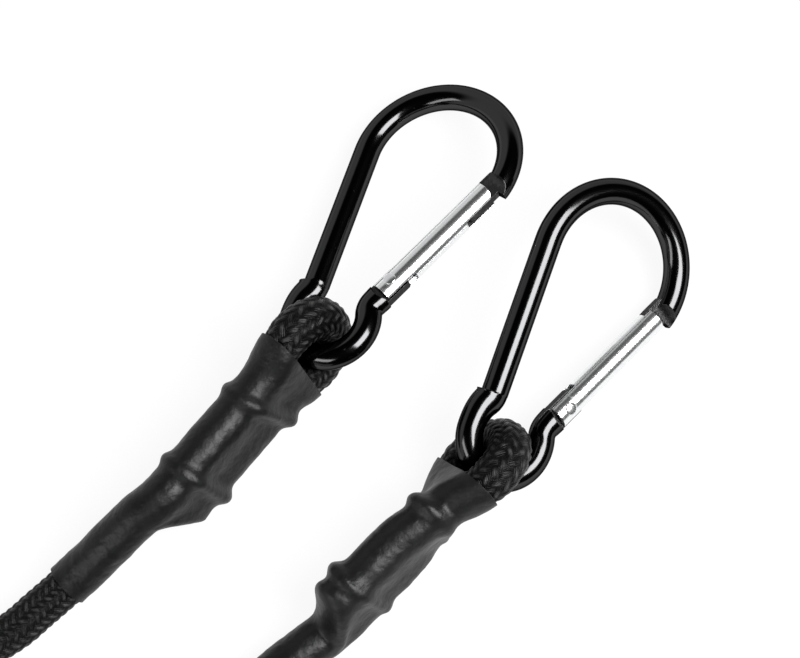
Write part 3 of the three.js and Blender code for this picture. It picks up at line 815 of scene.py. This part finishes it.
def barrel(radius, low, high, axis, sides=48):
    """A round bar along an axis, from low to high."""
    turns = {
        "X": Matrix.Rotation(math.pi / 2, 3, "Y"),
        "Y": Matrix.Rotation(-math.pi / 2, 3, "X"),
        "Z": Matrix.Identity(3),
    }
    bm = bmesh.new()
    bmesh.ops.create_cone(
        bm, cap_ends=True, segments=sides, radius1=radius, radius2=radius, depth=high - low,
    )
    bmesh.ops.translate(bm, vec=(0, 0, (low + high) / 2), verts=bm.verts[:])
    bmesh.ops.rotate(bm, matrix=turns[axis], verts=bm.verts[:])
    return bm


def block(low, high):
    """A box between two of its corners."""
    low, high = Vector(low), Vector(high)
    bm = bmesh.new()
    bmesh.ops.create_cube(bm, size=1.0)
    bmesh.ops.scale(bm, vec=high - low, verts=bm.verts[:])
    bmesh.ops.translate(bm, vec=(low + high) / 2, verts=bm.verts[:])
    return bm


def rounded(bm, picked, size):
    edges = [edge for edge in bm.edges if picked(edge)]
    bmesh.ops.bevel(
        bm, geom=edges, offset=size, segments=4, profile=0.5, affect="EDGES", material=-1,
    )
    return bm


def across_plate(edge):
    """Edges that run through a plate's thickness."""
    return abs((edge.verts[0].co - edge.verts[1].co).normalized().z) > 0.9


def nose_corner(edge):
    """Edges through the thickness on the outer side of the gate's nose."""
    return across_plate(edge) and all(vert.co.x > 0 and vert.co.y > 0 for vert in edge.verts)


def make_hook(side, gloss, milled):
    """The bent rod with its scooped nose, the nose's tongue and lip, and the tongue at the hinge."""
    place, gate = hook_place(side), gate_place(side)
    finishes = (gloss, milled)
    body = piece_of(bent_rod(), f"{side}_hook_rod", place, finishes)
    points, _, _ = rod_path()
    nose = (gate.inverted() @ place @ points[0]).y

    def tool(bm, finish):
        for face in bm.faces:
            face.material_index = finishes.index(finish)
        return piece_of(bm, "tool", gate, finishes)

    cuts = [tool(barrel(HINGE_RELIEF_R, -PAST, PAST, "Z", sides=64), gloss)]
    for face in (-1, 1):
        scoop = barrel(NOSE_SCOOP_R, -3 * ROD_R, 3 * ROD_R, "X", sides=64)
        aside = face * (TONGUE_T / 2 + NOSE_SCOOP_R)
        bmesh.ops.translate(scoop, vec=(0, nose, aside), verts=scoop.verts[:])
        cuts.append(tool(scoop, milled))
    shaped(body, "DIFFERENCE", cuts)
    low, high, reach = NOSE_TONGUE
    half = TONGUE_T / 2 - APART
    thin = half - APART
    wide = HINGE_TONGUE_W / 2
    lip_low = GATE_NOSE - NOSE_SLOTS[1] + GAP
    plates = (
        ((low, GATE_NOSE - reach, -half), (high, nose + ROD_R / 2, half)),
        ((-NOSE_LIP_IN, lip_low, -thin), (0.0, GATE_NOSE + NOSE_LIP_RISE, thin)),
        ((-wide, -HINGE_RELIEF_R - ROD_R / 2, -half), (wide, HINGE_TONGUE_END, half)),
    )
    tongues = [tool(rounded(block(*plate), across_plate, TONGUE_ROUND), milled) for plate in plates]
    shaped(body, "UNION", tongues)
    shaped(body, "DIFFERENCE", [tool(barrel(RIVET_R + GAP, -PAST, PAST, "Z", sides=32), gloss)])
    return dressed(body, f"{side}_hook", "hook_black", f"{side}_hook_body")


def make_gate(side, bright):
    """The round bar, slotted for the tongues and bored for the spring, and marked for its drawn streaks."""
    place = gate_place(side)
    tool = lambda bm: piece_of(bm, "tool", place, (bright,))
    bar = barrel(GATE_R, -GATE_TAIL, GATE_NOSE + GAP, "Y", sides=96)
    piece = piece_of(bar, f"{side}_gate_bar", place, (bright,))
    outline = block((-GATE_R - GAP, -GATE_TAIL - GAP, -PAST), (GATE_R + APART, GATE_NOSE, PAST))
    shaped(piece, "INTERSECT", [tool(rounded(outline, nose_corner, GATE_NOSE_ROUND))], GATE_SHARP)
    half = TONGUE_T / 2 + GAP
    thin = half - APART
    hinge_outer, hinge_inner = (depth - GATE_TAIL for depth in HINGE_SLOTS)
    nose_outer, nose_inner = (GATE_NOSE - depth for depth in NOSE_SLOTS)
    beyond = GATE_NOSE + PAST
    slots = (
        ((0, -PAST, -half), (PAST, hinge_outer, half)),
        ((-PAST, -PAST, -thin), (GAP, hinge_inner, thin)),
        ((NOSE_TONGUE[0] - GAP, nose_outer, -half), (PAST, beyond, half)),
        ((-PAST, nose_inner, -thin), (0, beyond, thin)),
    )
    cuts = [tool(barrel(GATE_BORE_R, -PAST, GATE_BORE_DEPTH - GATE_TAIL, "Y"))]
    cuts += [tool(block(*slot)) for slot in slots]
    cuts += [tool(barrel(RIVET_R + GAP, -PAST, PAST, "Z"))]
    shaped(piece, "DIFFERENCE", cuts, GATE_SHARP)
    back = place.inverted()
    mesh = piece.data
    along = mesh.attributes.new("along", "FLOAT", "POINT")
    about = mesh.attributes.new("round", "FLOAT", "POINT")
    for i, vert in enumerate(mesh.vertices):
        here = back @ (vert.co / MM)
        along.data[i].value = here.y
        about.data[i].value = math.atan2(here.z, here.x) / (2 * math.pi)
    return dressed(piece, f"{side}_gate_bar", "gate_bright", f"{side}_gate")


def make_rivet(side, bright):
    """The pin that the gate turns on, headed over on both faces."""
    place = gate_place(side)
    sides = 40
    pin = barrel(RIVET_R, -GATE_R, GATE_R, "Z", sides)
    piece = piece_of(pin, f"{side}_gate_pin", place, (bright,))
    flat = (RIVET_PROUD + RIVET_SUNK) / RIVET_HEAD_R
    half_side = Matrix.Rotation(math.pi / (2 * sides), 3, "Z")
    heads = []
    for face in (-1, 1):
        bm = bmesh.new()
        bmesh.ops.create_uvsphere(bm, u_segments=sides, v_segments=sides // 2, radius=RIVET_HEAD_R)
        bmesh.ops.scale(bm, vec=(1, 1, flat), verts=bm.verts[:])
        bmesh.ops.rotate(bm, matrix=half_side, verts=bm.verts[:])
        bmesh.ops.translate(bm, vec=(0, 0, face * (GATE_R - RIVET_SUNK)), verts=bm.verts[:])
        heads.append(piece_of(bm, "head", place, (bright,)))
    shaped(piece, "UNION", heads)
    return dressed(piece, f"{side}_hook", "gate_bright", f"{side}_gate_rivet")


def make_spring(side, steel):
    """The spring in the gate's bore, which shortens between the plunger and the bore's floor."""
    clear = GAP + SPRING_WIRE_R
    low = HINGE_TONGUE_END + GAP + PLUNGER_HEAD + clear
    high = GATE_BORE_DEPTH - GATE_TAIL - clear
    steps = SPRING_COILS * COIL_STEPS
    points = []
    for i in range(steps + 1):
        turn = 2 * math.pi * i / COIL_STEPS
        rise = blend(low, high, i / steps)
        points.append(Vector((SPRING_R * math.cos(turn), rise, SPRING_R * math.sin(turn))))
    place = gate_place(side)
    coil = wire(points, SPRING_WIRE_R, Vector((0, 1, 0)))
    piece = piece_of(coil, f"{side}_gate_coil", place, (steel,))
    start, end = (tuple(place @ Vector((0, y, 0)) * MM) for y in (low, high))
    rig.blend(piece, f"{side}_plunger", f"{side}_gate_bar", start, end)
    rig.slot(piece, "spring_steel")
    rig.replaces(piece, f"{side}_gate_spring")
    return piece


class End:
    """One cord end in its eye's frame: X away from the hook, Y along the rod and Z across the strands."""

    def __init__(self, side):
        lay, hook = CORDS[side], hook_place(side)
        self.side = side
        self.strand = lay["strand"]
        self.lands = lay["lands"]
        self.back_at = TAIL_END + lay["back"]
        self.bump = lay["bump"]
        self.knob = math.radians(lay["knob"])
        self.clamps = [(at, math.tan(math.radians(lean))) for at, lean in zip(CLAMPS_AT, lay["leans"])]
        heading, fall = math.radians(lay["heading"]), math.radians(lay["fall"])
        flat = math.cos(fall)
        along = Vector((flat * math.cos(heading), flat * math.sin(heading), math.sin(fall)))
        out, up = hook.to_3x3().col[0].copy(), hook.to_3x3().col[1].copy()
        angle = math.atan2(along.dot(up), along.dot(out))
        seat = hook @ Vector((EYE_R * math.cos(angle) - EYE_SHIFT, EYE_R * math.sin(angle), 0.0))
        rod_way = up * math.cos(angle) - out * math.sin(angle)
        self.place = Matrix((along, rod_way, along.cross(rod_way))).transposed().to_4x4()
        self.place.translation = seat
        self.back = self.place.inverted()
        self.sky = (self.back.to_3x3() @ Vector((0, 0, 1))).normalized()
        ahead = heading + math.radians(lay["turn"])
        self.away = Vector((math.cos(ahead), math.sin(ahead), 0.0))
        # The corner, where the single cord turns off, is found before the strands settle, as in the solids
        self.twist = math.radians(lay["twist"])
        self.settle = 0.0
        self.corner = self.place @ self.doubled(TAIL_END, self.strand)
        self.settle = math.radians(lay["settle"])

    def offset(self, x):
        return blend(BIGHT_R, STRAND_OFFSET, ease(x, 0.0, EYE_CLOSE))

    def aside(self, x):
        """Direction from the lower strand to the upper one."""
        turn = self.twist * ease(x, 0.0, EYE_CLOSE) + self.settle * ease(x, *SETTLES)
        return Vector((0.0, math.sin(turn), math.cos(turn)))

    def doubled(self, x, strand):
        return Vector((x, 0.0, 0.0)) + self.aside(x) * strand * self.offset(x)

    def landed(self, x):
        return ease(x, TAIL_END, self.lands)

    def main(self, x):
        """The strand that goes on as the free cord."""
        here = self.place @ self.doubled(x, self.strand)
        floor = blend(SINGLE_HEIGHT, CORD_R, ease(x, SLEEVE_END, SLEEVE_END + LEAD_OUT))
        height = blend(here.z, floor, self.landed(x))
        here = here.lerp(self.corner + self.away * (x - TAIL_END), ease(x, TAIL_END, self.back_at))
        here.z = height
        return self.back @ here

    def tail(self, x):
        return self.doubled(x, -self.strand)

    def spread(self, x):
        """Distance between the sleeve's two rounds."""
        return 2 * self.offset(x) * (1 - ease(x, TAIL_END - GAP, SLEEVE_SINGLE))

    def section(self, x):
        """Frame of a section of the sleeve: X across, Y towards the upper strand or the sky and Z along."""
        along = Vector((1, 0, 0))
        if x > TAIL_END:
            along = (self.main(x + GAP) - self.main(x - GAP)).normalized()
        up = self.aside(x).lerp(self.sky, self.landed(x))
        across = up.cross(along).normalized()
        place = Matrix((across, along.cross(across), along)).transposed().to_4x4()
        place.translation = self.main(x)
        return place

    def pinch(self, x, strand):
        """How much of a clamp's pinch a strand feels."""
        middles = [at + strand * STRAND_OFFSET * lean for at, lean in self.clamps]
        return max(0.0, *(1 - abs(x - middle) / CLAMP_REACH for middle in middles))


def stitch(turns, length):
    """Braid at a turn and a length: its height, and which way the upper bundle lies, both from 0 to 1."""
    p = BUNDLES * turns + length / STITCH
    q = BUNDLES * turns - length / STITCH
    i, j = math.floor(p), math.floor(q)
    period = 2 * OVER
    if (i + j) % period < OVER:
        over, across, lie = ((i + q) % period) / OVER, p - i, 1.0
    else:
        over, across, lie = ((p + j) % period - OVER) / OVER, q - j, 0.0
    arch = max(0.0, math.sin(math.pi * over)) ** ARCH_BEND
    crown = 1 - abs(2 * across - 1) ** CROWN_BEND
    first, second = (blend(left, 1.0, crown) for left in CROWN_SIDES)
    return arch * first * second, lie


def braided(places, points, radius_at, sides, name, place, braid):
    """A braided cord swept along frames, with the braid's relief in its shape."""
    lengths = lengths_along(points)

    def corner(i, k):
        turn = 2 * math.pi * k / sides
        height, _ = stitch(k / sides, lengths[i])
        radius = radius_at(i) + BRAID_RELIEF * (height - BRAID_LEVEL)
        return Vector((radius * math.cos(turn), radius * math.sin(turn), 0.0))

    bm = swept(places, sides, corner)
    mapped(bm, sides, lengths)
    crown = bm.verts.layers.float.new("crown")
    lie = bm.verts.layers.float.new("lie")
    turn = bm.verts.layers.int["turn"]
    step = bm.verts.layers.int["step"]
    for vert in bm.verts:
        vert[crown], vert[lie] = stitch(vert[turn] / sides, lengths[vert[step]])
    return piece_of(closed(bm), name, place, (braid,), sharp=180.0)


def make_eye(end, braid):
    """The cord turned back round the rod, from its join with the free cord to its cut tail."""

    def swell(x, strand):
        opening = EYE_SWELL * (1 - ease(x, 0.0, SLEEVE_START))
        return opening - CLAMP_PINCH * end.pinch(x, strand)

    join = CORD_JOIN_AT - GAP / 2
    rise, bend, fall = (int(span / EYE_RING) for span in (join, math.pi * BIGHT_R, TAIL_END))
    rising = [join * (1 - i / rise) for i in range(rise)]
    course = [(end.main(x), swell(x, end.strand)) for x in rising]
    for i in range(bend + 1):
        turn = math.pi * i / bend
        here = Vector((-BIGHT_R * math.sin(turn), 0.0, end.strand * BIGHT_R * math.cos(turn)))
        course.append((here, EYE_SWELL))
    falling = [TAIL_END * i / fall for i in range(1, fall + 1)]
    course += [(end.tail(x), swell(x, -end.strand)) for x in falling]
    points = [at for at, _ in course]
    places = frames_along(points, Vector((0, 1, 0)))
    radius_at = lambda i: CORD_R + course[i][1]
    piece = braided(places, points, radius_at, EYE_SIDES, f"{end.side}_eye_braid", end.place, braid)
    return dressed(piece, "cord", "braid", f"{end.side}_eye_jacket", f"{end.side}_eye_core")


def make_clamp(end, which, steel):
    """Open ring of wire pressed round both strands, a little out of square."""
    at, lean = end.clamps[("upper", "lower").index(which)]
    offset = end.offset(at)
    ring = [(CLAMP_R, CLAMP_OPEN / 2)]
    for half in (1, -1):
        for i in range(CLAMP_STEPS + 1):
            turn = math.pi * i / CLAMP_STEPS
            ring.append((half * CLAMP_R * math.cos(turn), half * (offset + CLAMP_R * math.sin(turn))))
    ring.append((CLAMP_R, -CLAMP_OPEN / 2))
    aside = end.aside(at)
    across = aside.cross(Vector((1, 0, 0)))
    points = [Vector((at + lean * up, 0, 0)) + across * out + aside * up for out, up in ring]
    bm = wire(points, CLAMP_WIRE_R, Vector((1, 0, 0)))
    piece = piece_of(bm, f"{end.side}_{which}_clamp_wire", end.place, (steel,))
    return dressed(piece, "cord", "clamp_steel", f"{end.side}_clamp_{which}")


def hump(distance, width, power=2):
    """A swelling of height 1, falling off with the distance."""
    return math.exp(-abs(distance / width) ** power)


def make_sleeve(end, shrink, cut):
    """The shrunk tube: two rounds and the webs between them, closing to one round on the single cord."""
    steps = round((SLEEVE_END - SLEEVE_START) / SKIN_RING)
    stations = [blend(SLEEVE_START, SLEEVE_END, i / steps) for i in range(steps + 1)]
    places = [end.section(x) for x in stations]
    lump_shift = Vector((end.strand * LUMP_SHIFT[0], *LUMP_SHIFT[1:]))

    def swelling(x, up, turn, lower, spread):
        """What the clamps, the bump and the webs add to the radius."""
        gone = [x - at - lean * up for at, lean in end.clamps]
        facing = math.cos(turn - end.knob)
        knob = max(0.0, facing)
        over = sum(hump(d, RIDGE_WIDTH + KNOB_WIDTH * knob, RIDGE_STEEP) for d in gone)
        beside = sum(hump(abs(d) - HOLLOW_AT, HOLLOW_WIDTH) for d in gone)
        ridge = over * (RIDGE_RISE + LINE_RISE * facing**2 + KNOB_RISE * facing) - HOLLOW * beside
        ridge += end.bump * knob * hump(x - TAIL_END - BUMP_AT, BUMP_WIDTH)
        web = math.sin(math.pi * lower) ** 2 * min(1.0, spread / WEB_SPREAD)
        return ridge - WEB_SAG * web * max(0.0, 1 - over)

    def lumps(where):
        (high, wide), (low, narrow) = LARGE_LUMP, SMALL_LUMP
        return high * noise.noise(where / wide + lump_shift) + low * noise.noise(where / narrow)

    def corner(i, k):
        x = stations[i]
        spread = end.spread(x)
        high, low = (0.0, -spread) if end.strand > 0 else (spread, 0.0)
        course = end.main(x + GAP) - end.main(x - GAP)
        slant = course.length / course.dot(places[i].to_3x3().col[2])
        radius = SKIN_R * slant
        arch = math.pi * radius
        walk = 2 * (arch + spread) * (k + 0.5) / SKIN_SIDES
        lower = min(max((walk - arch) / max(spread, GAP), 0.0), 1.0)
        turn = min(walk, arch) / radius
        if walk > arch + spread:
            turn = math.pi + min(walk - arch - spread, arch) / radius
        if walk > 2 * arch + spread:
            lower = 1 - (walk - 2 * arch - spread) / spread
        out = Vector((math.cos(turn), math.sin(turn), 0.0))
        here = Vector((0.0, blend(high, low, lower), 0.0)) + out * radius
        up = here.y - (high + low) / 2
        lump = lumps(places[i] @ here) * ease(x, SLEEVE_START, SLEEVE_START + MOUTH)
        return here + out * (swelling(x, up, turn, lower, spread) + lump)

    bm = swept(places, SKIN_SIDES, corner)
    mapped(bm, SKIN_SIDES, lengths_along([place.translation for place in places]))
    bmesh.ops.recalc_face_normals(bm, faces=bm.faces[:])
    bmesh.ops.solidify(bm, geom=bm.faces[:], thickness=SLEEVE_WALL)
    step = bm.verts.layers.int["step"]
    # Faces within a single ring are the cut rims, which take the finish with the painted highlight
    for face in bm.faces:
        at = {vert[step] for vert in face.verts}
        face.material_index = int(len(at) == 1)
    piece = piece_of(bm, f"{end.side}_shrunk_sleeve", end.place, (shrink, cut), sharp=50.0)
    return dressed(piece, "cord", "shrink", f"{end.side}_sleeve")


def spline(points, count):
    """Even points along a smooth curve through the given ones, knots spaced by the root of their distance."""
    ends = [points[0] * 2 - points[1], *points, points[-1] * 2 - points[-2]]
    curve = []
    for a, b, c, d in zip(ends, ends[1:], ends[2:], ends[3:]):
        t1 = (b - a).length ** 0.5
        t2 = t1 + (c - b).length ** 0.5
        t3 = t2 + (d - c).length ** 0.5
        for i in range(SPLINE_STEPS):
            t = blend(t1, t2, i / SPLINE_STEPS)
            ab = a.lerp(b, t / t1)
            bc = b.lerp(c, (t - t1) / (t2 - t1))
            cd = c.lerp(d, (t - t2) / (t3 - t2))
            first = ab.lerp(bc, t / t2)
            second = bc.lerp(cd, (t - t1) / (t3 - t1))
            curve.append(first.lerp(second, (t - t1) / (t2 - t1)))
    curve.append(points[-1])
    lengths = lengths_along(curve)
    even, at = [], 0
    for i in range(count + 1):
        want = lengths[-1] * i / count
        while at < len(curve) - 2 and lengths[at + 1] < want:
            at += 1
        span = lengths[at + 1] - lengths[at]
        even.append(curve[at].lerp(curve[at + 1], (want - lengths[at]) / span))
    return even


def make_free_cord(left, right, braid):
    """The cord between the sleeves: down to the floor and round one fold."""
    marks = (
        CORD_JOIN_AT + GAP / 2,
        CORD_JOIN_AT + JOIN_LEAD,
        SLEEVE_END,
        SLEEVE_END + LEAD_OUT / 2,
        SLEEVE_END + LEAD_OUT,
    )
    lead = lambda end: [end.place @ end.main(x) for x in marks]
    fold = [Vector((x, y, CORD_R)) + SHIFT for x, y in FOLD_ROUTE]
    points = spline([*lead(left), *fold, *reversed(lead(right))], FREE_RINGS)
    places = frames_along(points, Vector((0, 0, 1)))
    radius_at = lambda i: CORD_R
    still = Matrix.Identity(4)
    piece = braided(places, points, radius_at, FREE_SIDES, "free_cord_braid", still, braid)
    dressed(piece, "cord", "braid", "free_cord_jacket", "free_cord_core")
    path = [tuple(p * MM) for p in points[::PATH_EVERY]]
    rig.cord(
        piece, exit=path[0], length=lengths_along(points)[-1] * MM, diameter=2 * CORD_R * MM,
        far_end="object", stiffness="medium", lay="loose", path=path,
    )
    return piece


def make_camera():
    height = math.radians(CAMERA_HEIGHT)
    back = Vector((0.0, -math.cos(height), math.sin(height)))
    data = bpy.data.cameras.new("camera")
    data.sensor_width = SENSOR
    data.lens = LENS
    data.clip_start, data.clip_end = CAMERA_CLIP
    camera = bpy.data.objects.new("camera", data)
    camera.location = Vector(TARGET) * MM + back * CAMERA_AWAY
    camera.rotation_euler = (math.pi / 2 - height, 0.0, 0.0)
    bpy.context.scene.collection.objects.link(camera)
    bpy.context.scene.camera = camera


def make_lamp(name, toward, long_side, size, strength):
    """A soft box in a direction from the hooks, long side along another; strength is what a mirror shows."""
    data = bpy.data.lights.new(name, "AREA")
    data.shape = "RECTANGLE"
    data.size, data.size_y = size
    data.energy = strength * math.pi * size[0] * size[1]
    lamp = bpy.data.objects.new(name, data)
    back = Vector(toward).normalized()
    side = Vector(long_side)
    side = (side - back * side.dot(back)).normalized()
    lamp.matrix_world = Matrix((side, back.cross(side), back)).transposed().to_4x4()
    lamp.location = Vector(LIT_POINT) + back * LAMP_AWAY
    bpy.context.scene.collection.objects.link(lamp)


def make_floor():
    """White floor, which shows its own light to the camera and in mirrors."""
    white = Finish("floor_white")
    white.set(Base_Color=(0.86, 0.86, 0.86), Roughness=0.9, Specular_IOR_Level=0.0)
    rays = white.node("LightPath").outputs
    seen = Term(white, rays["Is Camera Ray"]).most(rays["Is Glossy Ray"])
    share = seen.most(rays["Is Transmission Ray"]) * FLOOR_GLOW
    glow = white.node("Emission", {}, {"Color": WHITE, "Strength": 1.0})
    sockets = {0: share, 1: white.shader.outputs[0], 2: glow.outputs[0]}
    both = white.node("MixShader", {}, sockets)
    white.join(white.out, "Surface", both.outputs[0])
    bm = bmesh.new()
    bmesh.ops.create_grid(bm, x_segments=1, y_segments=1, size=FLOOR_HALF)
    floor = piece_of(bm, "floor", Matrix.Translation((0, 0, -FLOOR_BELOW)), (white.material,))
    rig.stage(floor)


def make_room():
    """Room that is dark above and pale at the horizon in mirrors, and white to the camera."""
    world = bpy.data.worlds.new("studio")
    world.use_nodes = True
    bpy.context.scene.world = world
    room = Nodes(world.node_tree)
    rays = room.node("LightPath").outputs
    toward = room.node("TexCoord").outputs["Generated"]
    x, y, z = (Term(room, part) for part in room.node("SeparateXYZ", {}, {0: toward}).outputs)
    level = z + x * WALL_LEAN - y * WALL_LEAN
    shown = room.node("ValToRGB", {"stops": WALL_GREYS}, {0: level * 0.5 + 0.5})
    mirror = room.mixed(rays["Is Glossy Ray"], ROOM_GREY, shown.outputs[0])
    every = room.mixed(rays["Is Camera Ray"], mirror, WHITE)
    sky = room.node("Background", {}, {"Color": every, "Strength": 1.0})
    room.node("OutputWorld", {}, {"Surface": sky.outputs[0]})


def finish_solids(nodes, steel):
    """Finish of the plungers, the solids that stay as they are."""
    for side in HOOKS:
        held = nodes[f"{side}_spring_plunger"].data.materials
        held.clear()
        held.append(steel)


bpy.context.scene.view_settings.view_transform = "Standard"
make_camera()
make_floor()
make_room()
make_lamp(
    "key_box", toward=(0.4916, -0.1843, 0.8512), long_side=(0.457, -0.375, -0.334),
    size=(0.58, 0.52), strength=14.5,
)
make_lamp(
    "side_strip", toward=(-0.572, -0.613, 0.545), long_side=(0.73, -0.68, 0.0),
    size=(0.75, 0.22), strength=5.0,
)

braid_finish = black_braid()
shrink_finish = shrunk_plastic()
gloss_finish = gloss_black()
milled_finish = milled_black()
gate_finish = bright_gate()
rim_highlight_finish = rim_painted_highlight()
clamp_finish = plain_steel("clamp_wire", tint=(0.5, 0.51, 0.52), rough=0.35)
spring_finish = plain_steel("spring_wire", tint=(0.62, 0.63, 0.64), rough=0.25)
ends = {side: End(side) for side in HOOKS}
make_free_cord(ends["left"], ends["right"], braid_finish)
for side, end in ends.items():
    make_eye(end, braid_finish)
    make_clamp(end, "upper", clamp_finish)
    make_clamp(end, "lower", clamp_finish)
    make_sleeve(end, shrink_finish, rim_highlight_finish)
    make_hook(side, gloss_finish, milled_finish)
    make_gate(side, gate_finish)
    make_rivet(side, gate_finish)
    make_spring(side, spring_finish)
finish_solids(frame["nodes"], spring_finish)

new_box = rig.bounds()
with open("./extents.json", "w") as file:
    json.dump({"cad": [list(p) for p in cad_box], "visual": [list(p) for p in new_box]}, file)
